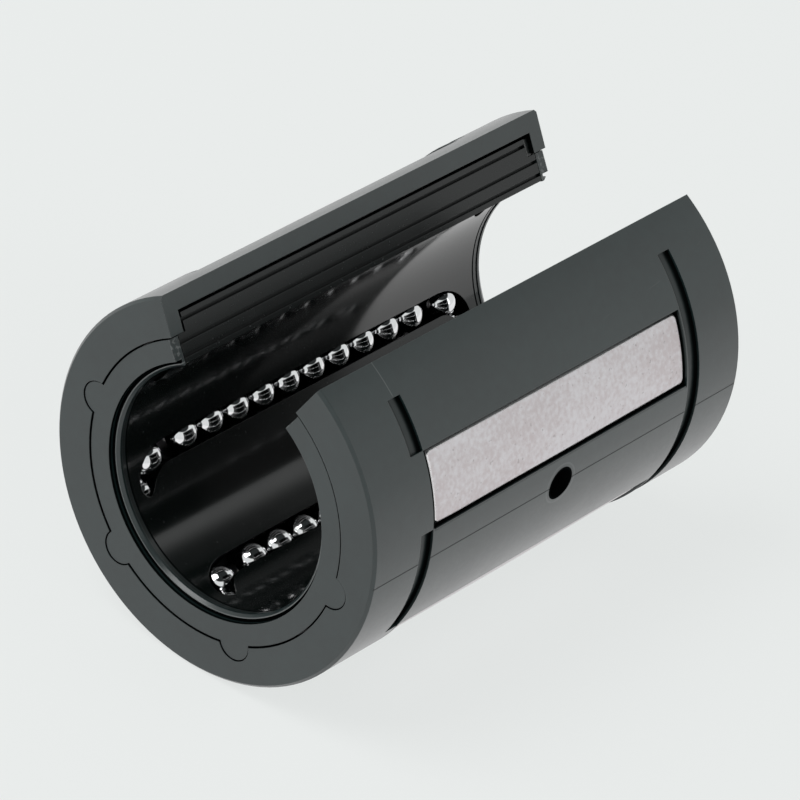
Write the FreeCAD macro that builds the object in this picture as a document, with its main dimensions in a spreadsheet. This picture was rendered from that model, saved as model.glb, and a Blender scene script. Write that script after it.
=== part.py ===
import FreeCAD, Part
import Sketcher
import os

# Open linear ball bushing for a 25 mm shaft. X runs along the shaft, the slot opens towards +Z, and the middle of
# the shaft is the origin. Angles run round the shaft from +Z towards -Y.

DRIVING_SIZES = {
    # Envelope
    "outer_radius": 20, "length": 58, "end_chamfer": 0.3, "slot_half_angle": 29.7,
    # Shaft, balls and the loop that they run round
    "shaft_radius": 12.5, "ball_radius": 1.786, "ball_pitch": 3.93, "row_balls": 10, "turn_balls": 3,
    "first_row_angle": 69.2, "row_step": 60, "circuits": 5, "track_gap": 0.2, "straight_half": 21.2,
    # Sleeve
    "sleeve_bore": 15.85, "groove_radius": 19.5, "groove_reach": 22.1, "groove_width": 1.85, "groove_start": 41,
    "bridge_half_angle": 11.6, "hole_radius": 1.55, "hole_depth": 2.5, "hole_angle": 90,
    "notch_radius": 18.05, "notch_reach": 27.2, "notch_end": 37,
    # Bearing plates and their windows
    "plate_bottom": 15.95, "plate_top": 19.85, "plate_half_width": 3.85, "plate_half_length": 19.9,
    "plate_crown": 0.2, "back_crown": 0.1, "plate_land": 3, "plate_corner": 0.8, "plate_edge": 0.3,
    "race_top": 16.13, "race_radius": 2.1, "race_sweep": 2.5,
    "window_upper_gap": 0.15, "window_lower_gap": 0.4, "window_end_gap": 0.15,
    # Retainer
    "retainer_half_angle": 31.2, "retainer_bore": 12.8, "retainer_radius": 15.7, "retainer_reach": 27.6,
    "flange_radius": 17.6, "flange_reach": 26.5, "flange_end": 36.4, "flange_groove": 16.9,
    "edge_groove_width": 0.35, "edge_groove_sweep": 1.6, "edge_groove_inner": 13.5, "edge_groove_outer": 14.9,
    # End rings
    "ring_bore": 12.7, "ring_radius": 15.65, "ring_face": 28.9, "ring_back": 27.7, "ring_mouth": 13.4,
    "collar_face": 28.35, "collar_foot": 28, "collar_radius": 13.05, "collar_mouth": 12.95,
    "lobes": 4, "lobe_angle": 100, "lobe_centre": 15.6, "lobe_radius": 1.75, "lobe_gap": 0.12,
}

X_AXIS = FreeCAD.Vector(1, 0, 0)
Z_AXIS = FreeCAD.Vector(0, 0, 1)
OVERCUT = 1.0  # how far a cutting profile runs past the face that it opens


class Size:
    """A number together with the spreadsheet expression that gives it."""

    def __init__(self, value, text=None):
        self.value = value
        self.text = text or "%.9f" % value

    def __add__(self, other):
        return self._joined("+", other, lambda a, b: a + b)

    def __sub__(self, other):
        return self._joined("-", other, lambda a, b: a - b)

    def __mul__(self, other):
        return self._joined("*", other, lambda a, b: a * b)

    def __truediv__(self, other):
        return self._joined("/", other, lambda a, b: a / b)

    def __neg__(self):
        return self * -1

    def _joined(self, sign, other, work):
        other = as_size(other)
        return Size(work(self.value, other.value), "(%s %s %s)" % (self.text, sign, other.text))


def as_size(number):
    return number if isinstance(number, Size) else Size(number)


doc = FreeCAD.newDocument("open_ball_bushing")
sheet = doc.addObject("Spreadsheet::Sheet", "sizes")
size = {}
for line, (alias, number) in enumerate(DRIVING_SIZES.items(), start=1):
    sheet.set("A%d" % line, alias)
    sheet.set("B%d" % line, str(number))
    sheet.setAlias("B%d" % line, alias)
    size[alias] = Size(number, "sizes." + alias)
doc.recompute()

# Sizes worked out from the driving ones
half_length = size["length"] / 2
row_height = size["shaft_radius"] + size["ball_radius"]
track_radius = size["ball_radius"] + size["track_gap"]
turn_radius = size["turn_balls"] * size["ball_pitch"] / Size(3.141592653589793, "pi")
straight_half = size["straight_half"]
row_half = size["row_balls"] * size["ball_pitch"] / 2
circuit_sweep = size["row_step"] * (size["circuits"] - 1)
lobe_sweep = size["row_step"] * (size["lobes"] - 1)
groove_inner = size["groove_reach"] - size["groove_width"]


# Sketches and features
def new_body(name):
    body = doc.addObject("PartDesign::Body", name)
    body.Label = name
    return body


def origin_part(body, role):
    return next(feature for feature in body.Origin.OriginFeatures if feature.Role == role)


def new_sketch(body, name, role, turn, distance=None):
    """A sketch on one of the body's own planes, turned round the shaft and moved along its normal."""
    sketch = body.newObject("Sketcher::SketchObject", name)
    sketch.AttachmentSupport = [(origin_part(body, role), "")]
    sketch.MapMode = "FlatFace"
    square_on = role == "YZ_Plane"
    axis = Z_AXIS if square_on else X_AXIS
    sketch.AttachmentOffset = FreeCAD.Placement(FreeCAD.Vector(), FreeCAD.Rotation(axis, 1))
    sketch.setExpression("AttachmentOffset.Rotation.Angle", turn.text)
    if distance and square_on:
        sketch.setExpression("AttachmentOffset.Base.z", distance.text)
    elif distance:
        sketch.setExpression("AttachmentOffset.Base.y", "-1 * %s * sin(%s * 1 deg)" % (distance.text, turn.text))
        sketch.setExpression("AttachmentOffset.Base.z", "%s * cos(%s * 1 deg)" % (distance.text, turn.text))
    return sketch


def constrain(sketch, kind, *where, value):
    """A constraint whose value is bound to the spreadsheet."""
    index = sketch.addConstraint(Sketcher.Constraint(kind, *where, value.value))
    sketch.setExpression("Constraints[%d]" % index, value.text)


def place_point(sketch, geometry, point, across, up):
    """Ties one point of a sketch to the sketch's origin by two bound distances."""
    for kind, axis, distance in (("DistanceX", -2, as_size(across)), ("DistanceY", -1, as_size(up))):
        if distance.value == 0:
            sketch.addConstraint(Sketcher.Constraint("PointOnObject", geometry, point, axis))
        elif distance.value > 0:
            constrain(sketch, kind, -1, 1, geometry, point, value=distance)
        else:
            constrain(sketch, kind, geometry, point, -1, 1, value=-distance)


def spot(across, up):
    return FreeCAD.Vector(as_size(across).value, as_size(up).value, 0)


def outline(sketch, corners):
    """A closed outline through the corners, each given as two sizes."""
    spots = [spot(across, up) for across, up in corners]
    first = sketch.GeometryCount
    for start, end in zip(spots, spots[1:] + spots[:1]):
        sketch.addGeometry(Part.LineSegment(start, end), False)
    for step, (across, up) in enumerate(corners):
        following = first + (step + 1) % len(corners)
        sketch.addConstraint(Sketcher.Constraint("Coincident", first + step, 2, following, 1))
        place_point(sketch, first + step, 1, across, up)


def rectangle(sketch, left, right, bottom, top):
    outline(sketch, [(left, bottom), (right, bottom), (right, top), (left, top)])


def circle(sketch, across, up, radius):
    index = sketch.addGeometry(Part.Circle(spot(across, up), Z_AXIS, radius.value), False)
    place_point(sketch, index, 3, across, up)
    constrain(sketch, "Radius", index, value=radius)


def upright_axis(sketch, across, top):
    """A construction line to turn a profile about; features call it Axis0."""
    index = sketch.addGeometry(Part.LineSegment(spot(across, 0), spot(across, top)), True)
    place_point(sketch, index, 1, across, 0)
    place_point(sketch, index, 2, across, top)


def level_axis(sketch, up, reach):
    """A construction line across the sketch to turn a profile about."""
    index = sketch.addGeometry(Part.LineSegment(spot(-reach, up), spot(reach, up)), True)
    place_point(sketch, index, 1, -reach, up)
    place_point(sketch, index, 2, reach, up)


def turned(body, kind, name, sketch, sweep, axis="H_Axis", symmetric=True, backwards=False):
    """A Revolution or a Groove of a sketch about one of the sketch's own axes."""
    feature = body.newObject("PartDesign::" + kind, name)
    feature.Profile = sketch
    feature.ReferenceAxis = (sketch, [axis])
    feature.Midplane = symmetric
    feature.Reversed = backwards
    feature.setExpression("Angle", as_size(sweep).text)
    return feature


def pushed(body, kind, name, sketch, length, symmetric=False, backwards=False):
    """A Pad or a Pocket of a sketch along the sketch's normal."""
    feature = body.newObject("PartDesign::" + kind, name)
    feature.Profile = sketch
    feature.SideType = "Symmetric" if symmetric else "One side"
    feature.Reversed = backwards
    feature.setExpression("Length", as_size(length).text)
    return feature


def round_the_shaft(body, name, features, count, sweep):
    pattern = body.newObject("PartDesign::PolarPattern", name)
    pattern.Originals = features
    pattern.Axis = (origin_part(body, "X_Axis"), [""])
    pattern.setExpression("Angle", sweep.text)
    pattern.setExpression("Occurrences", count.text)
    body.Tip = pattern


def open_ring(body, name, corners, half_gap):
    """A ring of the given profile round the shaft, with its gap at the top."""
    sketch = new_sketch(body, name + "_profile", "XZ_Plane", Size(180))
    outline(sketch, corners)
    turned(body, "Revolution", name, sketch, Size(360) - half_gap * 2)


def arc_block(body, kind, name, middle, sweep, spans):
    """Adds or cuts blocks that follow the shaft's curve, each given by its ends along X and its radii."""
    sketch = new_sketch(body, name + "_profile", "XZ_Plane", middle)
    for span in spans:
        rectangle(sketch, *span)
    return turned(body, kind, name, sketch, sweep)


def cut_ball_tracks(body):
    """Cuts the loop that a circuit of balls runs in, two straights and two turns, and repeats it."""
    angle = size["first_row_angle"]
    cuts = []
    for name, across in (("loaded", Size(0)), ("return", turn_radius * 2)):
        sketch = new_sketch(body, name + "_track_profile", "YZ_Plane", angle)
        circle(sketch, across, row_height, track_radius)
        cuts.append(pushed(body, "Pocket", name + "_track", sketch, straight_half * 2, symmetric=True))
    for name, place, backwards in (("rear", straight_half, False), ("front", -straight_half, True)):
        sketch = new_sketch(body, name + "_turn_profile", "YZ_Plane", angle, place)
        upright_axis(sketch, turn_radius, row_height)
        circle(sketch, 0, row_height, track_radius)
        cuts.append(turned(body, "Groove", name + "_turn", sketch, Size(180), "Axis0", False, backwards))
    round_the_shaft(body, "ball_tracks", cuts, size["circuits"], circuit_sweep)


# Outer sleeve
def build_sleeve():
    body = new_body("outer_sleeve")
    bore, outside = size["sleeve_bore"], size["outer_radius"]
    shoulder, inset = outside - size["end_chamfer"], half_length - size["end_chamfer"]
    open_ring(body, "shell", [(-half_length, bore), (half_length, bore), (half_length, shoulder),
                              (inset, outside), (-inset, outside), (-half_length, shoulder)],
              size["slot_half_angle"])
    cut_ring_grooves(body)
    cut_plate_windows(body)
    cut_ball_tracks(body)
    cut_lobe_seats(body)
    cut_locating_hole(body)
    arm_edge = size["slot_half_angle"] - OVERCUT
    arc_block(body, "Groove", "flange_notch", -(arm_edge + size["notch_end"]) / 2, size["notch_end"] - arm_edge,
              [(-size["notch_reach"], size["notch_reach"], bore - OVERCUT, size["notch_radius"])])
    return body


def cut_ring_grooves(body):
    floor, outside = size["groove_radius"], size["outer_radius"]
    spans = [(groove_inner, size["groove_reach"]), (-size["groove_reach"], -groove_inner)]
    arc_block(body, "Groove", "ring_grooves", Size(180), Size(360) - size["groove_start"] * 2,
              [(start, end, floor, outside + OVERCUT) for start, end in spans])
    front = spans[1]
    bridge = arc_block(body, "Revolution", "front_groove_bridge", size["first_row_angle"],
                       size["bridge_half_angle"] * 2, [(*front, floor - OVERCUT, outside)])
    round_the_shaft(body, "front_groove_bridges", [bridge], size["circuits"], circuit_sweep)


def cut_plate_windows(body):
    sketch = new_sketch(body, "window_outline", "XY_Plane", size["first_row_angle"], row_height)
    reach = size["plate_half_length"] + size["window_end_gap"]
    rectangle(sketch, -reach, reach, -(size["plate_half_width"] + size["window_lower_gap"]),
              size["plate_half_width"] + size["window_upper_gap"])
    window = pushed(body, "Pocket", "window", sketch, size["outer_radius"] - row_height + OVERCUT, backwards=True)
    round_the_shaft(body, "windows", [window], size["circuits"], circuit_sweep)


def cut_lobe_seats(body):
    depth = half_length - size["retainer_reach"]
    seats = []
    for name, place, backwards in (("rear", half_length, False), ("front", -half_length, True)):
        sketch = new_sketch(body, name + "_lobe_outline", "YZ_Plane", size["lobe_angle"], place)
        circle(sketch, 0, size["lobe_centre"], size["lobe_radius"] + size["lobe_gap"])
        seats.append(pushed(body, "Pocket", name + "_lobe_seat", sketch, depth, backwards=backwards))
    round_the_shaft(body, "lobe_seats", seats, size["lobes"], lobe_sweep)


def cut_locating_hole(body):
    sketch = new_sketch(body, "hole_outline", "XY_Plane", size["hole_angle"], size["outer_radius"])
    circle(sketch, 0, 0, size["hole_radius"])
    pushed(body, "Pocket", "locating_hole", sketch, size["hole_depth"])


# Ball retainer
def build_retainer():
    body = new_body("ball_retainer")
    bore, outside, reach = size["retainer_bore"], size["retainer_radius"], size["retainer_reach"]
    open_ring(body, "cage", [(-reach, bore), (reach, bore), (reach, outside), (-reach, outside)],
              size["retainer_half_angle"])
    edge = size["retainer_half_angle"]
    arc_block(body, "Revolution", "arm_flange", -(edge + size["flange_end"]) / 2, size["flange_end"] - edge,
              [(-size["flange_reach"], size["flange_reach"], outside - OVERCUT, size["flange_radius"])])
    cut_ball_tracks(body)
    half_width = size["edge_groove_width"] / 2
    for name, angle, places in (("left", -edge, ("edge_groove_inner", "edge_groove_outer", "flange_groove")),
                                ("right", edge, ("edge_groove_inner", "edge_groove_outer"))):
        lines = [(-reach - OVERCUT, reach + OVERCUT, size[place] - half_width, size[place] + half_width)
                 for place in places]
        arc_block(body, "Groove", name + "_edge_grooves", angle, size["edge_groove_sweep"] * 2, lines)
    return body


# End rings
def build_end_ring(name, side):
    body = new_body(name)
    bore, outside, face = size["ring_bore"], size["ring_radius"], size["ring_face"] * side
    back, foot, rim = size["ring_back"] * side, size["collar_foot"] * side, size["collar_face"] * side
    collar, mouth = size["collar_radius"], size["ring_mouth"]
    open_ring(body, "ring", [(back, bore), (foot, bore), (rim, size["collar_mouth"]), (rim, collar), (foot, collar),
                             (foot, mouth), (face, mouth), (face, outside), (back, outside)],
              size["retainer_half_angle"])
    sketch = new_sketch(body, "lobe_outline", "YZ_Plane", size["lobe_angle"], face)
    circle(sketch, 0, size["lobe_centre"], size["lobe_radius"])
    lobe = pushed(body, "Pad", "lobe", sketch, size["ring_face"] - size["ring_back"], backwards=side > 0)
    round_the_shaft(body, "lobes", [lobe], size["lobes"], lobe_sweep)
    return body


# Bearing plates
def build_plate(number):
    body = new_body("bearing_plate_%d" % number)
    angle = size["first_row_angle"] + size["row_step"] * (number - 1)
    reach, land, crown = size["plate_half_length"], size["plate_land"], size["plate_crown"]
    bottom, top, sag = size["plate_bottom"], size["plate_top"], size["back_crown"]
    above = size["outer_radius"] + OVERCUT
    side = new_sketch(body, "side_outline", "XZ_Plane", angle)
    outline(side, [(-reach, bottom + crown), (-land, bottom), (land, bottom), (reach, bottom + crown),
                   (reach, above), (-reach, above)])
    pushed(body, "Pad", "block", side, size["plate_half_width"] * 2, symmetric=True)
    back = new_sketch(body, "back_outline", "XZ_Plane", angle)
    outline(back, [(-reach, top - sag), (-land, top), (land, top), (reach, top - sag),
                   (reach + OVERCUT, above + OVERCUT), (-reach - OVERCUT, above + OVERCUT)])
    turned(body, "Groove", "crowned_back", back, size["row_step"])
    cut_race(body, angle)
    outward = FreeCAD.Rotation(X_AXIS, angle.value).multVec(Z_AXIS)
    dress(body, "Fillet", "corners", "Radius", size["plate_corner"],
          lambda edge: edge.Curve.TypeId == "Part::GeomLine"
          and abs(edge.tangentAt(edge.FirstParameter) * outward) > 0.999)
    dress(body, "Chamfer", "back_edges", "Size", size["plate_edge"],
          lambda edge: on_the_back(edge) and abs(abs(edge.CenterOfMass.x) - land.value) > 0.01)
    return body


def cut_race(body, angle):
    """The track that the loaded balls press on, crowned like the plate's back."""
    reach, crown = size["plate_half_length"], size["plate_crown"]
    bend = reach * reach / (crown * 2)
    sketch = new_sketch(body, "race_profile", "YZ_Plane", angle)
    circle(sketch, 0, size["race_top"] - size["race_radius"], size["race_radius"])
    level_axis(sketch, size["race_top"] + bend, reach)
    turned(body, "Groove", "race", sketch, size["race_sweep"], "Axis0")


def on_the_back(edge):
    """Whether both ends of an edge lie on a plate's outer face."""
    lowest = size["plate_top"].value - size["back_crown"].value - 0.01
    return all(FreeCAD.Vector(0, v.Point.y, v.Point.z).Length > lowest for v in edge.Vertexes)


def dress(body, kind, name, property_name, amount, wanted):
    """Fillets or chamfers the edges of the body's last feature that are wanted."""
    doc.recompute()
    last = body.Tip
    feature = body.newObject("PartDesign::" + kind, name)
    feature.Base = (last, ["Edge%d" % index for index, edge in enumerate(last.Shape.Edges, start=1) if wanted(edge)])
    feature.setExpression(property_name, amount.text)


# Balls
def build_balls(name, number, spots):
    """One node of separate balls; each spot is a place along the shaft and one across the loop."""
    angle = size["first_row_angle"] + size["row_step"] * (number - 1)
    cosine, sine = "cos(%s * 1 deg)" % angle.text, "sin(%s * 1 deg)" % angle.text
    balls = []
    for along, across in spots:
        ball = doc.addObject("Part::Sphere", "ball")
        ball.setExpression("Radius", size["ball_radius"].text)
        ball.setExpression("Placement.Base.x", along.text)
        ball.setExpression("Placement.Base.y", "%s * %s - %s * %s" % (across.text, cosine, row_height.text, sine))
        ball.setExpression("Placement.Base.z", "%s * %s + %s * %s" % (across.text, sine, row_height.text, cosine))
        balls.append(ball)
    group = doc.addObject("Part::Compound", name)
    group.Label = "%s_%d" % (name, number)
    group.Links = balls
    return group


def row_spots(across):
    return [(size["ball_pitch"] * (step + 0.5) - row_half, across) for step in range(size["row_balls"].value)]


def turn_spots(side):
    spots = []
    for step in range(size["turn_balls"].value):
        angle = "(180 deg * %.1f / %s)" % (step + 0.5, size["turn_balls"].text)
        along = Size(0, "%d * (%s + %s * sin%s)" % (side, straight_half.text, turn_radius.text, angle))
        spots.append((along, Size(0, "(%s * (1 - cos%s))" % (turn_radius.text, angle))))
    return spots


def build_circuit(number):
    return [build_plate(number),
            build_balls("loaded_balls", number, row_spots(Size(0))),
            build_balls("rear_turn_balls", number, turn_spots(1)),
            build_balls("return_balls", number, row_spots(turn_radius * 2)),
            build_balls("front_turn_balls", number, turn_spots(-1))]


nodes = [build_sleeve(), build_retainer(), build_end_ring("front_end_ring", -1), build_end_ring("rear_end_ring", 1)]
for number in range(1, size["circuits"].value + 1):
    nodes += build_circuit(number)
doc.recompute()

for item in doc.Objects:
    if "Invalid" in item.State or "Error" in item.State:
        raise RuntimeError("%s did not build: %s" % (item.Label, item.State))
os.makedirs("parts", exist_ok=True)
for node in nodes:
    if node.Shape.isNull() or not node.Shape.isValid():
        raise RuntimeError("%s has no valid shape" % node.Label)
    node.Shape.exportStep("parts/%s.step" % node.Label)
    print("%s: %d solids, %.1f mm3" % (node.Label, len(node.Shape.Solids), node.Shape.Volume))
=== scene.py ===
"""Looks of an open linear ball bushing: the finish of every piece, the studio and the camera."""

import logging
import math
from dataclasses import dataclass
from enum import Enum
from typing import Any, Mapping, Optional, Tuple, Union

import bmesh
import bpy
from mathutils import Matrix, Vector


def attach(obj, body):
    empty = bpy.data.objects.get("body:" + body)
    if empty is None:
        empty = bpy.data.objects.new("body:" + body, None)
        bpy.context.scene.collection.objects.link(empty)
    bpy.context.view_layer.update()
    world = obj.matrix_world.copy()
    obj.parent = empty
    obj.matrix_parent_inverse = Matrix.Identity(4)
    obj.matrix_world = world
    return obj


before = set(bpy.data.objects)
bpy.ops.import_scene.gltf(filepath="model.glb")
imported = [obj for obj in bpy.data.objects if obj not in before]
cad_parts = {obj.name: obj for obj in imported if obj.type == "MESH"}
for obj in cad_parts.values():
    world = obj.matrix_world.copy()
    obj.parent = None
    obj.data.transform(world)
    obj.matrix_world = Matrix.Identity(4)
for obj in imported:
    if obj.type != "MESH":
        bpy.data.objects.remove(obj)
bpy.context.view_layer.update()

MM = 0.001
ORIGIN = (0, 0, 0)
NOISE_MIDDLE = 0.5
BEVEL_SAMPLES = 4
LOG = logging.getLogger("bushing")

Triple = Tuple[float, float, float]
Colour = Triple
Span = Tuple[float, float]
Value = Union["Signal", float, int, Tuple[float, ...]]
Sockets = Mapping[Union[str, int], Value]


class Row(Enum):
    """The four stretches of a ball circuit, by the names of their nodes."""

    LOADED = "loaded_balls"
    REAR_TURN = "rear_turn_balls"
    RETURN = "return_balls"
    FRONT_TURN = "front_turn_balls"


class Ray(Enum):
    """The kinds of ray that see the studio's plain background."""

    CAMERA = "Is Camera Ray"
    GLOSSY = "Is Glossy Ray"
    TRANSMISSION = "Is Transmission Ray"


class MixPlug(Enum):
    """The numbers of a colour Mix node's inputs and of its output."""

    FACTOR = 0
    LOW = 6
    HIGH = 7
    RESULT = 2


class Signal:
    """One output of a shader node; arithmetic on it adds Math nodes to the same tree."""

    def __init__(self, board: "NodeBoard", socket: bpy.types.NodeSocket) -> None:
        """Keeps the socket and the board that it belongs to."""
        self.board = board
        self.socket = socket

    def out(self, name: str) -> "Signal":
        """Another output of the same node."""
        return Signal(self.board, self.socket.node.outputs[name])

    def __add__(self, other: Value) -> "Signal":
        """The sum of two signals."""
        return self.board.math("ADD", self, other)

    def __radd__(self, other: Value) -> "Signal":
        """The sum, with the number first."""
        return self.board.math("ADD", other, self)

    def __sub__(self, other: Value) -> "Signal":
        """The difference of two signals."""
        return self.board.math("SUBTRACT", self, other)

    def __rsub__(self, other: Value) -> "Signal":
        """The difference, with the number first."""
        return self.board.math("SUBTRACT", other, self)

    def __mul__(self, other: Value) -> "Signal":
        """The product of two signals."""
        return self.board.math("MULTIPLY", self, other)

    def __rmul__(self, other: Value) -> "Signal":
        """The product, with the number first."""
        return self.board.math("MULTIPLY", other, self)

    def __truediv__(self, other: Value) -> "Signal":
        """The quotient of two signals."""
        return self.board.math("DIVIDE", self, other)

    def __abs__(self) -> "Signal":
        """The signal without its sign."""
        return self.board.math("ABSOLUTE", self)

    def __or__(self, other: "Signal") -> "Signal":
        """The larger of two signals: where either mask holds."""
        return self.board.math("MAXIMUM", self, other)

    def root(self) -> "Signal":
        """The square root of the signal."""
        return self.board.math("SQRT", self)

    def swing(self, amount: float) -> "Signal":
        """Noise made to swing about 0 by an amount."""
        return amount * (self - NOISE_MIDDLE)

    def rises(self, low: float, high: float) -> "Signal":
        """A smooth step from 0 at low to 1 at high."""
        return self.board.node("MapRange", {"interpolation_type": "SMOOTHSTEP"},
                               {"Value": self, "From Min": low, "From Max": high})

    def falls(self, low: float, high: float) -> "Signal":
        """A smooth step from 1 at low to 0 at high."""
        return 1 - self.rises(low, high)

    def line(self, centre: float, half_width: float) -> "Signal":
        """A soft-edged line of 1 where the signal is within half_width of centre."""
        return abs(self - centre).falls(half_width / 2, half_width)


class NodeBoard:
    """The node tree of one material or of the world."""

    def __init__(self, owner: Union[bpy.types.Material, bpy.types.World]) -> None:
        """Empties the owner's node tree.

        Args:
            owner: the material or the world whose tree is built.
        """
        owner.use_nodes = True
        self.owner = owner
        self.tree = owner.node_tree
        self.tree.nodes.clear()

    def node(self, kind: str, settings: Optional[Mapping[str, Any]] = None,
             sockets: Optional[Sockets] = None, output: Union[str, int] = 0) -> Signal:
        """Adds one shader node.

        Args:
            kind: the node's type, without the words ShaderNode in front.
            settings: properties, which are set before the sockets.
            sockets: a value or a signal for each input, by name or number.
            output: the output that the result stands for.

        Returns:
            The node's output as a signal.
        """
        made = self._new(kind, settings, sockets)
        return Signal(self, made.outputs[output])

    def _new(self, kind: str, settings: Optional[Mapping[str, Any]],
             sockets: Optional[Sockets]) -> bpy.types.Node:
        """Adds a node, sets its properties and then its sockets."""
        made = self.tree.nodes.new("ShaderNode" + kind)
        for name, value in (settings or {}).items():
            setattr(made, name, value)
        for key, value in (sockets or {}).items():
            if isinstance(value, Signal):
                self.tree.links.new(value.socket, made.inputs[key])
            else:
                made.inputs[key].default_value = value
        return made

    def close(self, kind: str, surface: Signal) -> None:
        """Links a surface to the tree's output node, OutputMaterial or OutputWorld."""
        self._new(kind, None, {"Surface": surface})

    def math(self, operation: str, *values: Value) -> Signal:
        """Adds a Math node over the values."""
        return self.node("Math", {"operation": operation}, dict(enumerate(values)))

    def place(self) -> Signal:
        """The place on the piece, in metres."""
        return self.node("TexCoord", output="Object")

    def axes(self) -> Tuple[Signal, Signal, Signal]:
        """The place on the piece as three numbers, in metres."""
        along = self.node("SeparateXYZ", sockets={"Vector": self.place()}, output="X")
        return along, along.out("Y"), along.out("Z")

    def flat_normal(self) -> Tuple[Signal, Signal]:
        """The bare face's normal, as its parts across the shaft and up."""
        normal = self.node("NewGeometry", output="True Normal")
        across = self.node("SeparateXYZ", sockets={"Vector": normal}, output="Y")
        return across, across.out("Z")

    def noise(self, size: float, detail: float = 2.0, squeeze: Triple = (1, 1, 1)) -> Signal:
        """Cloudy noise from 0 to 1.

        Args:
            size: the size of its clouds in metres.
            detail: how many finer layers it has.
            squeeze: how much the clouds are squeezed along each axis; below 1 they are drawn out.

        Returns:
            The noise as a signal.
        """
        mapped = self.node("Mapping", sockets={"Vector": self.place(), "Scale": squeeze})
        return self.node("TexNoise", sockets={"Vector": mapped, "Scale": 1 / size, "Detail": detail})

    def tint(self, factor: Signal, low: Union[Signal, Colour], high: Colour) -> Signal:
        """A colour that goes from low to high with the factor."""
        under = low if isinstance(low, Signal) else (*low, 1)
        plugs = {MixPlug.FACTOR.value: factor, MixPlug.LOW.value: under, MixPlug.HIGH.value: (*high, 1)}
        return self.node("Mix", {"data_type": "RGBA"}, plugs, MixPlug.RESULT.value)

    def rounded(self, radius: float) -> Signal:
        """The surface normal with every edge softened over a radius in metres."""
        return self.node("Bevel", {"samples": BEVEL_SAMPLES}, {"Radius": radius})

    def edges(self, rounded: Signal) -> Signal:
        """How near a point is to a sharp edge, from 0 to about 0.3."""
        flat = self.node("NewGeometry", output="Normal")
        return 1 - self.node("VectorMath", {"operation": "DOT_PRODUCT"}, {0: rounded, 1: flat}, "Value")

    def relief(self, height: Signal, depth: float, rounded: Signal) -> Signal:
        """The normal of a surface with a relief of the given depth in metres."""
        return self.node("Bump", sockets={"Strength": 1.0, "Distance": depth, "Height": height,
                                          "Normal": rounded})


@dataclass(frozen=True)
class PaintedShade:
    """Painted shade: near-black, dull colour laid over recesses and gaps where shade falls."""

    # the near-black colour of the painted shade
    colour: Colour = (0.0025, 0.0032, 0.0032)

    def over(self, board: NodeBoard, where: Signal, surface: Signal) -> Signal:
        """Lays the painted shade over a surface.

        Args:
            board: the material's node tree.
            where: 1 in the recesses and gaps that get painted shade, 0 elsewhere.
            surface: the clean surface.

        Returns:
            The surface with painted shade in its recesses.
        """
        # painted shade: a near-black diffuse sheet mixed over the recesses
        dark_sheet = board.node("BsdfDiffuse", sockets={"Color": (*self.colour, 1)})
        return board.node("MixShader", sockets={0: where, 1: surface, 2: dark_sheet})


@dataclass(frozen=True)
class Section:
    """Where the walls of the bushing lie, for masks that follow them."""

    outer_radius: float = 20 * MM
    face: float = 29 * MM
    slot_angle: float = math.radians(29.7)
    retainer_angle: float = math.radians(31.2)
    cut_edge: Span = (0.03 * MM, 0.08 * MM)
    groove_inner: float = 20.25 * MM
    groove_outer: float = 22.1 * MM
    groove_floor: float = 19.5 * MM
    groove_start: float = 15.1 * MM
    seat_radius: float = 17.6 * MM
    ring_face: float = 28.9 * MM
    ring_mouth: float = 13.4 * MM
    mouth_ledge: float = 28.45 * MM
    ring_radius: float = 15.65 * MM
    collar_radius: float = 13.05 * MM
    collar_mouth: float = 12.95 * MM
    retainer_bore: float = 12.8 * MM
    band_line: float = 27.06 * MM
    window_end: float = 20.05 * MM
    window_side: float = 4.25 * MM
    bridge_angle: float = math.radians(11.6)
    first_row: float = math.radians(69.2)
    row_step: float = math.radians(60)
    rows: int = 5

    @property
    def groove_middle(self) -> float:
        """The distance from mid-length to the middle of a ring groove."""
        return (self.groove_inner + self.groove_outer) / 2

    @staticmethod
    def radius(across: Signal, up: Signal) -> Signal:
        """The distance from the shaft's axis."""
        return (across * across + up * up).root()

    @staticmethod
    def hole_side(across: Signal) -> Signal:
        """The half of the bushing that has the locating hole."""
        return (0 - across).rises(0, 1 * MM)

    def from_row(self, across: Signal, up: Signal) -> Signal:
        """The angle round the shaft to the middle of the nearest plate."""
        angle = across.board.math("ARCTAN2", 0 - across, up)
        return across.board.math("PINGPONG", angle - self.first_row, self.row_step / 2)

    @staticmethod
    def behind_cut(across: Signal, up: Signal, angle: float) -> Signal:
        """The depth behind the arms' cut faces, which stand at an angle from the top."""
        return abs(across) * math.cos(angle) - up * math.sin(angle)


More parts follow.
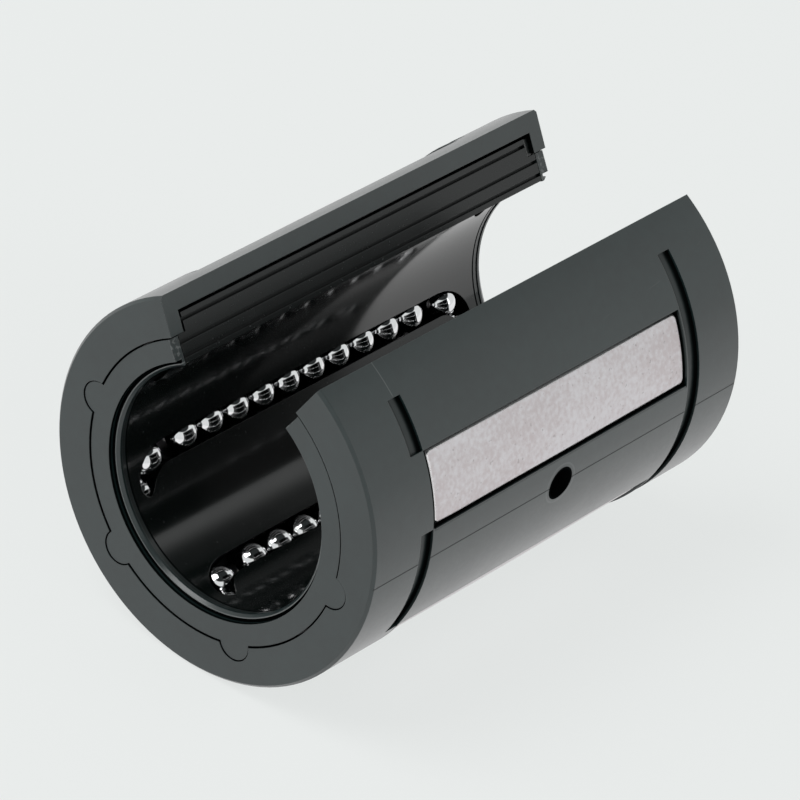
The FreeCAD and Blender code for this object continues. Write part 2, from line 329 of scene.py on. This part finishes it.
@dataclass(frozen=True)
class MouldedPlastic:
    """Satin dark plastic with the fine grain of a spark-eroded mould."""

    name: str
    dark: Colour = (0.0043, 0.0123, 0.0126)
    light: Colour = (0.0078, 0.0183, 0.0186)
    worn_and_highlit: Colour = (0.050, 0.058, 0.058)
    roughness: float = 0.36
    skin: float = 0.53
    skin_roughness: float = 0.24
    grain_size: float = 0.16 * MM
    grain_depth: float = 0.003 * MM
    edge: float = 0.12 * MM
    cloud_size: float = 7 * MM
    cloud_flow: Triple = (0.35, 1, 1)
    fleck_size: float = 1.1 * MM
    contrast: Span = (0.3, 0.7)
    wear_and_highlight_size: float = 1.2 * MM
    wear_and_highlight_reach: Span = (0.03, 0.25)
    wear_and_highlight: float = 0.5
    patch_size: float = 4 * MM
    patch_swing: float = 0.08
    speck_size: float = 0.5 * MM
    speck_swing: float = 0.06
    section: Section = Section()

    def base(self, board: NodeBoard, rounded: Signal) -> Signal:
        """The plastic's own colour, with faint flow clouds and paler edges, partly wear and partly painted
        highlight.
        """
        clouds = board.noise(self.cloud_size, 4.0, self.cloud_flow) * 0.6 + board.noise(self.fleck_size) * 0.4
        # paler edges: wear, and also a painted highlight along the edges
        worn_and_highlit = board.edges(rounded).rises(*self.wear_and_highlight_reach)
        worn_and_highlit = worn_and_highlit * board.noise(self.wear_and_highlight_size).rises(*self.contrast) * self.wear_and_highlight
        clean = board.tint(clouds.rises(*self.contrast), self.dark, self.light)
        return board.tint(worn_and_highlit, clean, self.worn_and_highlit)

    def sheen(self, board: NodeBoard) -> Signal:
        """The plastic's roughness, patchy as handled plastic is."""
        patches = board.noise(self.patch_size, 3.0).swing(self.patch_swing)
        return self.roughness + patches + board.noise(self.speck_size).swing(self.speck_swing)


@dataclass(frozen=True)
class SleevePlastic(MouldedPlastic):
    """The sleeve's plastic: seam, core ring round the hole, hairline scratches, and painted shade in its
    recesses.
    """

    shade_depth: Span = (0.34 * MM, 0.14 * MM)
    end_margin: Span = (0.4 * MM, 0.3 * MM)
    face_margin: Span = (0.07 * MM, 0.02 * MM)
    soft_edge: float = 0.05 * MM
    lit_floor_reach: Span = (0.1 * MM, 0.8 * MM)
    lit_floor: float = 0.7
    hole_shade_radius: float = 1.82 * MM
    plate_line_place: float = 0.09 * MM
    plate_line_width: float = 0.14 * MM
    plate_line_edge: float = math.radians(0.2)
    skin_depth: Span = (0.12 * MM, 0.06 * MM)
    seam_height: float = 0.05 * MM
    seam_half_width: float = 0.09 * MM
    seam_depth: float = 12
    hole_ring_radius: float = 2.15 * MM
    hole_ring_width: float = 0.14 * MM
    hole_ring_strength: float = 0.35
    witness_width: float = 0.07 * MM
    witness_strength: float = 0.6
    hair_strength: float = 0.12
    line_colour: Colour = (0.004, 0.006, 0.006)
    line_strength: float = 0.8
    scratch_colour: Colour = (0.10, 0.11, 0.11)

    def painted_shade(self, board: NodeBoard) -> Signal:
        """Where shade is painted: below the sleeve's skin in grooves, windows, hole, notch and seats, and on
        dark lines.
        """
        walls = self.section
        along, across, up = board.axes()
        radius, reach = walls.radius(across, up), abs(along)
        below_skin = radius.falls(*(walls.outer_radius - depth for depth in self.shade_depth))
        clear_of_ends = reach.falls(*(walls.face - margin for margin in self.end_margin))
        in_seats = radius.falls(walls.seat_radius - self.soft_edge, walls.seat_radius)
        behind_face = reach.falls(*(walls.face - margin for margin in self.face_margin))
        inside = walls.behind_cut(across, up, walls.slot_angle).rises(*walls.cut_edge)
        from_wall = (walls.groove_outer - walls.groove_inner) / 2 - abs(reach - walls.groove_middle)
        on_floor = radius.rises(walls.groove_floor - 2 * self.soft_edge, walls.groove_floor)
        # the lit part of each groove floor gets less painted shade
        floor = from_wall.rises(*self.lit_floor_reach) * on_floor
        # painted shade in the recesses and gaps below the skin
        shade_mask = inside * (below_skin * clear_of_ends | in_seats * behind_face) * (1 - self.lit_floor * floor)
        return shade_mask | self.painted_shade_lines(along, across, up)

    def painted_shade_lines(self, along: Signal, across: Signal, up: Signal) -> Signal:
        """Painted shade: a dark ring round the hole, and a dark gap line before the front end of every plate.
        """
        walls = self.section
        from_hole = walls.radius(along, up)
        # painted shade: a dark ring round the hole, wider than the hole
        hole_shade = from_hole.falls(self.hole_shade_radius - self.soft_edge, self.hole_shade_radius)
        hole_shade = hole_shade * walls.hole_side(across)
        # painted shade: a dark gap line just before each plate's front end
        before_plate = (0 - along).line(walls.window_end + self.plate_line_place, self.plate_line_width)
        from_row = walls.from_row(across, up)
        at_plate = from_row.falls(walls.bridge_angle - self.plate_line_edge, walls.bridge_angle)
        return hole_shade | before_plate * at_plate

    def marks(self, board: NodeBoard) -> Tuple[Signal, Signal]:
        """The lines on the sleeve's skin.

        Args:
            board: the material's node tree.

        Returns:
            The dark lines, and the pale scratches.
        """
        walls = self.section
        along, across, up = board.axes()
        radius = walls.radius(across, up)
        skin = radius.rises(*(walls.outer_radius - depth for depth in self.skin_depth))
        front = walls.hole_side(across) * skin
        seam = up.line(self.seam_height, self.seam_half_width) * front
        ring = walls.radius(along, up).line(self.hole_ring_radius, self.hole_ring_width) * front
        witness = (0 - along).line(walls.groove_middle, self.witness_width)
        witness = witness * up.rises(walls.groove_start, walls.groove_start + 0.2 * MM) * skin
        hair = board.noise(6 * MM, 1.0, (0.15, 1, 1)).line(NOISE_MIDDLE, 0.003)
        hair = hair * board.noise(5 * MM).rises(0.6, 0.7)
        pale = self.witness_strength * witness + self.hole_ring_strength * ring
        return seam, pale + self.hair_strength * hair * skin

    def material(self) -> bpy.types.Material:
        """Builds the sleeve's plastic."""
        board = NodeBoard(bpy.data.materials.new(self.name))
        rounded = board.rounded(self.edge)
        dark_lines, scratches = self.marks(board)
        base = board.tint(dark_lines * self.line_strength, self.base(board, rounded), self.line_colour)
        base = board.tint(scratches, base, self.scratch_colour)
        grain = board.noise(self.grain_size) - self.seam_depth * dark_lines - scratches
        surface = board.node("BsdfPrincipled", sockets={
            "Base Color": base,
            "Roughness": self.sheen(board) + 0.1 * scratches + 0.3 * dark_lines,
            "Coat Weight": self.skin * (1 - dark_lines), "Coat Roughness": self.skin_roughness,
            "Normal": board.relief(grain, self.grain_depth, rounded)})
        # painted shade over the sleeve's recesses and gaps
        board.close("OutputMaterial", PaintedShade().over(board, self.painted_shade(board), surface))
        return board.owner


@dataclass(frozen=True)
class RingPlastic(MouldedPlastic):
    """The end rings' plastic: painted shade in the mouth groove, a painted highlight on the collar rim, and
    rough cut ends.
    """

    face_margin: Span = (0.06 * MM, 0.02 * MM)
    joint_margin: Span = (0.04 * MM, 0.02 * MM)
    soft_edge: float = 0.03 * MM
    ledge_width: float = 0.17 * MM
    ledge_unshaded: float = 0.85
    # colour of the painted highlight round the collar rim
    painted_rim_highlight: Colour = (0.15, 0.16, 0.16)
    rim_width: float = 0.09 * MM
    rim_highlight_strength: float = 0.8
    torn: Colour = (0.09, 0.10, 0.10)
    tear_size: float = 0.35 * MM
    tear_depth: float = 14
    tear_reach: Span = (0.05 * MM, 0.12 * MM)

    def painted_shade(self, board: NodeBoard) -> Signal:
        """Where shade is painted: below the ring's face, in the mouth groove and the joint round it."""
        walls = self.section
        along, across, up = board.axes()
        radius, reach = walls.radius(across, up), abs(along)
        behind_face = reach.falls(*(walls.ring_face - margin for margin in self.face_margin))
        mouth = radius.rises(walls.collar_radius - self.soft_edge, walls.collar_radius)
        mouth = mouth * radius.falls(walls.ring_mouth, walls.ring_mouth + self.soft_edge)
        # the ledge inside the mouth gets less painted shade
        mouth = mouth * (1 - self.ledge_unshaded * reach.line(walls.mouth_ledge, self.ledge_width))
        joint = radius.rises(*(walls.ring_radius - margin for margin in self.joint_margin))
        inside = walls.behind_cut(across, up, walls.retainer_angle).rises(*walls.cut_edge)
        return inside * behind_face * (mouth | joint)

    def material(self) -> bpy.types.Material:
        """Builds the rings' plastic."""
        walls = self.section
        board = NodeBoard(bpy.data.materials.new(self.name))
        rounded = board.rounded(self.edge)
        _, across, up = board.axes()
        rim_radius = (walls.collar_radius + walls.collar_mouth) / 2
        # painted highlight: a pale line round the collar rim
        painted_rim_highlight = walls.radius(across, up).line(rim_radius, self.rim_width)
        cut_end = walls.behind_cut(across, up, walls.retainer_angle).falls(*self.tear_reach)
        tear = board.noise(self.tear_size, 3.0)
        base = board.tint(painted_rim_highlight * self.rim_highlight_strength, self.base(board, rounded), self.painted_rim_highlight)
        base = board.tint(cut_end * tear.rises(0.5, 0.65), base, self.torn)
        grain = board.noise(self.grain_size) + self.tear_depth * cut_end * tear
        surface = board.node("BsdfPrincipled", sockets={
            "Base Color": base, "Roughness": self.sheen(board) + 0.2 * cut_end,
            "Coat Weight": self.skin, "Coat Roughness": self.skin_roughness,
            "Normal": board.relief(grain, self.grain_depth, rounded)})
        # painted shade over the mouth groove and the joint
        board.close("OutputMaterial", PaintedShade().over(board, self.painted_shade(board), surface))
        return board.owner


@dataclass(frozen=True)
class GlossPlastic:
    """Glossy black plastic of the ball retainer."""

    name: str
    dark: Colour = (0.0015, 0.0028, 0.0026)
    light: Colour = (0.0035, 0.0055, 0.0052)
    dust: Colour = (0.02, 0.022, 0.022)
    dust_size: float = 0.3 * MM
    dust_strength: float = 0.3
    dust_roughness: float = 0.15
    roughness: float = 0.14
    patch_swing: float = 0.06
    skin: float = 0.42
    skin_roughness: float = 0.10
    bore_margin: Span = (0.05 * MM, 0.12 * MM)
    groove_depth: Span = (0.5 * MM, 0.6 * MM)
    groove_shade: float = 0.45
    facing: Span = (0.990, 0.996)
    cut_roughness: float = 0.12
    draft: float = math.radians(1.6)
    ripple_size: float = 2.2 * MM
    ripple_depth: float = 0.0007 * MM
    bore_skin: Span = (0.03 * MM, 0.06 * MM)
    band: Colour = (0.012, 0.017, 0.017)
    band_roughness: float = 0.22
    band_edge: float = 0.05 * MM
    line_width: float = 0.14 * MM
    edge: float = 0.08 * MM
    section: Section = Section()

    def painted_shade(self, board: NodeBoard) -> Signal:
        """Where shade is painted: the fine grooves that run along the arms' cut faces."""
        walls = self.section
        _, across, up = board.axes()
        depth = walls.behind_cut(across, up, walls.retainer_angle)
        off_bore = walls.radius(across, up).rises(*(walls.retainer_bore + off for off in self.bore_margin))
        return depth.rises(*walls.cut_edge) * depth.falls(*self.groove_depth) * off_bore

    def cut_faces(self, board: NodeBoard) -> Signal:
        """Where the surface faces the slot, as the arms' cut faces do."""
        angle = self.section.retainer_angle
        sideways, upwards = board.flat_normal()
        towards_slot = abs(sideways) * math.cos(angle) + upwards * math.sin(angle)
        return towards_slot.rises(*self.facing)

    def bore_ends(self, board: NodeBoard) -> Tuple[Signal, Signal]:
        """The bore's two ends.

        Args:
            board: the material's node tree.

        Returns:
            The painted dark gap line round the bore, and the satin band beyond it.
        """
        walls = self.section
        along, across, up = board.axes()
        bore = walls.radius(across, up).falls(*(walls.retainer_bore + off for off in self.bore_skin))
        # painted shade: a dark line standing for the gap at each end of the bore
        line = abs(along).line(walls.band_line, self.line_width) * bore
        return line, abs(along).rises(walls.band_line, walls.band_line + self.band_edge) * bore

    def material(self) -> bpy.types.Material:
        """Builds the plastic with faint flow lines along the part."""
        board = NodeBoard(bpy.data.materials.new(self.name))
        clouds = board.noise(5 * MM, 3.0, (0.25, 1, 1))
        specks = board.noise(self.dust_size, 1.0).rises(0.72, 0.80)
        base = board.tint(clouds, self.dark, self.light)
        base = board.tint(specks * self.dust_strength, base, self.dust)
        line, band = self.bore_ends(board)
        base = board.tint(band, base, self.band)
        cut_faces = self.cut_faces(board)
        _, across, up = board.axes()
        slope = math.tan(self.draft) / self.ripple_depth
        lean = cut_faces * self.section.radius(across, up) * slope
        rough = self.roughness + board.noise(3 * MM).swing(self.patch_swing) + self.dust_roughness * specks
        rough = rough + self.cut_roughness * cut_faces + self.band_roughness * band
        ripple = board.noise(self.ripple_size, 1.0, (0.2, 1, 1))
        surface = board.node("BsdfPrincipled", sockets={
            "Base Color": base, "Roughness": rough,
            "Coat Weight": self.skin * (1 - cut_faces), "Coat Roughness": self.skin_roughness,
            "Normal": board.relief(ripple + lean, self.ripple_depth, board.rounded(self.edge))})
        # painted shade in the cut faces' fine grooves and along the bore's end lines
        shade_mask = self.groove_shade * self.painted_shade(board) | line
        board.close("OutputMaterial", PaintedShade().over(board, shade_mask, surface))
        return board.owner


@dataclass(frozen=True)
class GroundSteel:
    """Hardened steel plate, ground and then tumbled to a soft mottled grey."""

    name: str
    warm: Colour = (0.530, 0.484, 0.492)
    cool: Colour = (0.630, 0.612, 0.630)
    bright: Colour = (0.80, 0.79, 0.79)
    pit: Colour = (0.30, 0.275, 0.275)
    roughness: float = 0.38
    mottle_swing: float = 0.12
    line_swing: float = 0.08
    polish: float = 0.12
    chamfer_polish_and_highlight: float = 0.8
    chamfer_start: Span = (0.3, 0.5)
    chamfer_end: Span = (0.86, 0.94)
    pit_strength: float = 0.5
    relief_depth: float = 0.002 * MM
    edge: float = 0.18 * MM

    def chamfers(self, board: NodeBoard) -> Signal:
        """Where the surface leans away from the plate's back, as its chamfered edges do."""
        _, across, up = board.axes()
        sideways, upwards = board.flat_normal()
        outwards = (sideways * across + upwards * up) / Section.radius(across, up)
        return outwards.falls(*self.chamfer_end) * outwards.rises(*self.chamfer_start)

    def material(self) -> bpy.types.Material:
        """Builds the steel with mottling, fine grinding lines, small pits, and bright edges that are partly
        polish and partly painted highlight.
        """
        board = NodeBoard(bpy.data.materials.new(self.name))
        rounded = board.rounded(self.edge)
        mottle = board.noise(0.5 * MM, 3.0) * 0.55 + board.noise(6 * MM, 3.0, (0.4, 1, 1)) * 0.45
        lines = board.noise(0.12 * MM, 2.0, (0.03, 1, 1))
        pits = board.noise(0.45 * MM, 1.0).rises(0.70, 0.76)
        # edges and chamfers: polished, and also painted bright as a highlight
        polished_and_highlit = board.edges(rounded).rises(0.01, 0.12) | self.chamfer_polish_and_highlight * self.chamfers(board)
        base = board.tint(mottle.rises(0.35, 0.65), self.warm, self.cool)
        base = board.tint(pits * self.pit_strength, base, self.pit)
        base = board.tint(polished_and_highlit, base, self.bright)
        rough = self.roughness + mottle.swing(self.mottle_swing) + lines.swing(self.line_swing)
        surface = board.node("BsdfPrincipled", sockets={
            "Base Color": base, "Metallic": 1.0, "Roughness": rough - self.polish * polished_and_highlit,
            "Normal": board.relief(lines + 0.6 * mottle - pits, self.relief_depth, rounded)})
        board.close("OutputMaterial", surface)
        return board.owner


@dataclass(frozen=True)
class PolishedSteel:
    """Bearing-ball steel, polished to a mirror under a thin film of oil."""

    name: str
    dark: Colour = (0.76, 0.76, 0.77)
    light: Colour = (0.88, 0.88, 0.89)
    roughness: float = 0.05
    film_size: float = 1.1 * MM
    film_roughness: float = 0.05
    hair_size: float = 0.25 * MM
    hair_roughness: float = 0.08

    def material(self) -> bpy.types.Material:
        """Builds the steel with an uneven film and hairline scratches."""
        board = NodeBoard(bpy.data.materials.new(self.name))
        film = board.noise(self.film_size, 3.0)
        hairlines = board.noise(self.hair_size, 2.0, (1, 0.05, 1)).rises(0.62, 0.75)
        rough = self.roughness + self.film_roughness * film.rises(0.4, 0.7)
        surface = board.node("BsdfPrincipled", sockets={
            "Base Color": board.tint(film, self.dark, self.light), "Metallic": 1.0,
            "Roughness": rough + self.hair_roughness * hairlines})
        board.close("OutputMaterial", surface)
        return board.owner


def dress(node: str, material: bpy.types.Material) -> None:
    """Gives one CAD node its finish and reports it.

    Args:
        node: the node's name.
        material: the finish.
    """
    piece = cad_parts[node]
    piece.data.materials.clear()
    piece.data.materials.append(material)
    LOG.info("%s wears %s", node, material.name)


def set_out(name: str, shape: bmesh.types.BMesh, material: bpy.types.Material) -> bpy.types.Object:
    """Makes a finished shape an object of the scene.

    Args:
        name: the object's name.
        shape: the shape, which is freed.
        material: the finish.

    Returns:
        The object, at the origin.
    """
    mesh = bpy.data.meshes.new(name)
    shape.to_mesh(mesh)
    shape.free()
    mesh.materials.append(material)
    piece = bpy.data.objects.new(name, mesh)
    bpy.context.scene.collection.objects.link(piece)
    return piece


@dataclass
class Housing:
    """The moulded sleeve and the two rings that close its ends."""

    sleeve: str = "outer_sleeve"
    rings: Tuple[str, ...] = ("front_end_ring", "rear_end_ring")
    body: str = "housing"
    slot: str = "housing_plastic"
    lip_width: float = 0.16 * MM
    lip_depth: float = 1.0 * MM
    lip_reach: float = 20.0 * MM
    lip_sunk: float = 0.01 * MM
    section: Section = Section()

    def dress(self) -> None:
        """Gives the sleeve, its window lips and the rings their plastic."""
        sleeve_plastic = SleevePlastic("sleeve_satin_plastic").material()
        dress(self.sleeve, sleeve_plastic)
        self.window_lips(sleeve_plastic)
        ring_plastic = RingPlastic("ring_satin_plastic").material()
        for ring in self.rings:
            dress(ring, ring_plastic)

    def window_lips(self, plastic: bpy.types.Material) -> None:
        """Makes the thin lip along the lower side of every plate window.

        Args:
            plastic: the sleeve's finish.
        """
        walls = self.section
        sides = [walls.window_side - self.lip_width, walls.window_side + self.lip_sunk]
        tops = [math.sqrt(walls.outer_radius ** 2 - side ** 2) - self.lip_sunk for side in sides]
        corners = ((sides[0], tops[0]), (sides[1], tops[1]),
                   (sides[1], tops[1] - self.lip_depth), (sides[0], tops[0] - self.lip_depth))
        lips = bmesh.new()
        for row in range(walls.rows):
            near = [lips.verts.new((-self.lip_reach, -side, height)) for side, height in corners]
            pushed = bmesh.ops.extrude_face_region(lips, geom=[lips.faces.new(near)], use_keep_orig=True)
            far = [item for item in pushed["geom"] if isinstance(item, bmesh.types.BMVert)]
            bmesh.ops.translate(lips, verts=far, vec=(2 * self.lip_reach, 0, 0))
            turn = Matrix.Rotation(walls.first_row + row * walls.row_step, 3, "X")
            bmesh.ops.rotate(lips, verts=near + far, cent=ORIGIN, matrix=turn)
        bmesh.ops.recalc_face_normals(lips, faces=lips.faces[:])
        piece = set_out("window_lips", lips, plastic)
        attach(piece, self.body)
        LOG.info("window_lips line the lower sides of the plate windows")


@dataclass
class Retainer:
    """The glossy cage that the balls run in."""

    node: str = "ball_retainer"
    body: str = "housing"
    slot: str = "retainer_plastic"
    tip_start: float = 26.5 * MM
    tip_end: float = 27.12 * MM
    tip_inside: float = 15.72 * MM
    tip_outside: float = 17.58 * MM
    tip_from: float = math.radians(31.25)
    tip_to: float = math.radians(36.35)
    tip_steps: int = 6
    tip_bevel: float = 0.06 * MM
    bevel_segments: int = 2
    sharp_angle: float = math.radians(45)

    def dress(self) -> None:
        """Gives the cage its black plastic, and its left flange the tip that closes its rear end."""
        plastic = GlossPlastic("retainer_gloss_plastic").material()
        dress(self.node, plastic)
        self.flange_tip(plastic)

    def flange_tip(self, plastic: bpy.types.Material) -> None:
        """Spins a rectangle round the shaft's axis into the flange's rear tip.

        Args:
            plastic: the cage's finish.
        """
        tip = bmesh.new()
        corners = ((self.tip_start, self.tip_inside), (self.tip_end, self.tip_inside),
                   (self.tip_end, self.tip_outside), (self.tip_start, self.tip_outside))
        tip.faces.new([tip.verts.new((along, 0, radius)) for along, radius in corners])
        turn = Matrix.Rotation(-self.tip_from, 3, "X")
        bmesh.ops.rotate(tip, verts=tip.verts[:], cent=ORIGIN, matrix=turn)
        bmesh.ops.spin(tip, geom=tip.verts[:] + tip.edges[:] + tip.faces[:], cent=ORIGIN, axis=(1, 0, 0),
                       angle=self.tip_from - self.tip_to, steps=self.tip_steps, use_merge=False)
        bmesh.ops.recalc_face_normals(tip, faces=tip.faces[:])
        sharp = [edge for edge in tip.edges if edge.calc_face_angle(0) > self.sharp_angle]
        bmesh.ops.bevel(tip, geom=sharp, offset=self.tip_bevel, segments=self.bevel_segments,
                        profile=0.5, affect="EDGES", material=-1)
        piece = set_out("flange_tip", tip, plastic)
        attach(piece, self.body)
        LOG.info("flange_tip closes the rear end of the left arm's flange")


@dataclass
class BallCircuits:
    """The five circuits: each a bearing plate and four rows or turns of balls."""

    count: int = 5
    plate: str = "bearing_plate"

    def dress(self) -> None:
        """Gives the plates and the balls their steel."""
        plate_steel = GroundSteel("plate_ground_steel").material()
        ball_steel = PolishedSteel("ball_polished_steel").material()
        for number in range(1, self.count + 1):
            dress(f"{self.plate}_{number}", plate_steel)
            for row in Row:
                dress(f"{row.value}_{number}", ball_steel)


@dataclass(frozen=True)
class Softbox:
    """A large soft lamp that points at the part."""

    name: str
    place: Triple
    width: float
    power: float


@dataclass
class Studio:
    """Pale floor, soft light and the camera."""

    floor_height: float = -20 * MM
    floor_reach: float = 2.5
    backdrop: Colour = (0.807, 0.831, 0.823)
    walls: Colour = (0.775, 0.795, 0.79)
    ceiling: Colour = (0.025, 0.028, 0.028)
    ceiling_edge: Span = (0.68, 0.74)
    glow: Colour = (0.850, 0.873, 0.865)
    mirrored_glow: Colour = (1, 1, 1)
    floor_glow: float = 0.82
    lens: float = 265.0
    sensor: float = 36.0
    nearest: float = 0.05
    eye: Triple = (-407.377 * MM, -272.268 * MM, 315.613 * MM)
    right: Triple = (0.62946, -0.76157, 0.15425)
    down: Triple = (-0.3414, -0.44938, -0.82553)
    boxes: Tuple[Softbox, ...] = (
        Softbox("key_softbox", (-0.55, 0.35, 0.95), 0.7, 7.0),
        Softbox("fill_softbox", (0.20, -1.05, 0.50), 0.7, 2.0),
    )

    def build(self) -> None:
        """Sets up the floor, the light and the camera."""
        self.lay_floor()
        self.light_sky()
        for box in self.boxes:
            self.hang(box)
        self.set_camera()
        bpy.context.scene.view_settings.view_transform = "Standard"

    def lay_floor(self) -> None:
        """Lays one large pale sheet under the part."""
        sheet = bmesh.new()
        bmesh.ops.create_grid(sheet, x_segments=1, y_segments=1, size=self.floor_reach,
                              matrix=Matrix.Translation((0, 0, self.floor_height)))
        floor = set_out("floor", sheet, self.floor_paper())

    def floor_paper(self) -> bpy.types.Material:
        """Pale paper that takes the shadow; it glows a little for the camera and for reflections."""
        board = NodeBoard(bpy.data.materials.new("floor_paper"))
        paper = board.node("BsdfDiffuse", sockets={"Color": (*self.backdrop, 1)})
        rays = board.node("LightPath", output=Ray.CAMERA.value)
        mirrored = rays.out(Ray.GLOSSY.value) | rays.out(Ray.TRANSMISSION.value)
        colour = board.tint(mirrored, self.glow, self.mirrored_glow)
        glow = board.node("Emission", sockets={"Color": colour})
        seen = (rays | mirrored) * self.floor_glow
        board.close("OutputMaterial", board.node("MixShader", sockets={0: seen, 1: paper, 2: glow}))
        return board.owner

    def light_sky(self) -> None:
        """Fills the world with soft light, pale all round and dark overhead.

        The camera sees the plain backdrop instead.
        """
        board = NodeBoard(bpy.data.worlds.new("studio"))
        direction = board.node("TexCoord", output="Generated")
        height = board.node("SeparateXYZ", sockets={"Vector": direction}, output="Z")
        sky = board.tint(height.rises(*self.ceiling_edge), self.walls, self.ceiling)
        sky = board.tint(board.node("LightPath", output=Ray.CAMERA.value), sky, self.glow)
        board.close("OutputWorld", board.node("Background", sockets={"Color": sky}))
        bpy.context.scene.world = board.owner

    def hang(self, box: Softbox) -> None:
        """Hangs one soft lamp, turned towards the part."""
        lamp = bpy.data.lights.new(box.name, "AREA")
        lamp.shape = "SQUARE"
        lamp.size = box.width
        lamp.energy = box.power
        holder = bpy.data.objects.new(box.name, lamp)
        holder.location = box.place
        holder.rotation_euler = (-Vector(box.place)).to_track_quat("-Z", "Y").to_euler()
        bpy.context.scene.collection.objects.link(holder)

    def set_camera(self) -> None:
        """Puts the camera where the photograph was taken from."""
        right, up = Vector(self.right).normalized(), -Vector(self.down)
        back = right.cross(up).normalized()
        up = back.cross(right)
        lens = bpy.data.cameras.new("camera")
        lens.lens = self.lens
        lens.sensor_width = self.sensor
        lens.clip_start = self.nearest
        camera = bpy.data.objects.new("camera", lens)
        turn = Matrix((right, up, back)).transposed().to_4x4()
        camera.matrix_world = Matrix.Translation(self.eye) @ turn
        bpy.context.scene.collection.objects.link(camera)
        bpy.context.scene.camera = camera


def main() -> None:
    """Dresses every piece, then sets up the studio."""
    logging.basicConfig(level=logging.INFO, format="%(name)s: %(message)s")
    for group in (Housing(), Retainer(), BallCircuits()):
        group.dress()
    Studio().build()


if __name__ == "__main__":
    main()
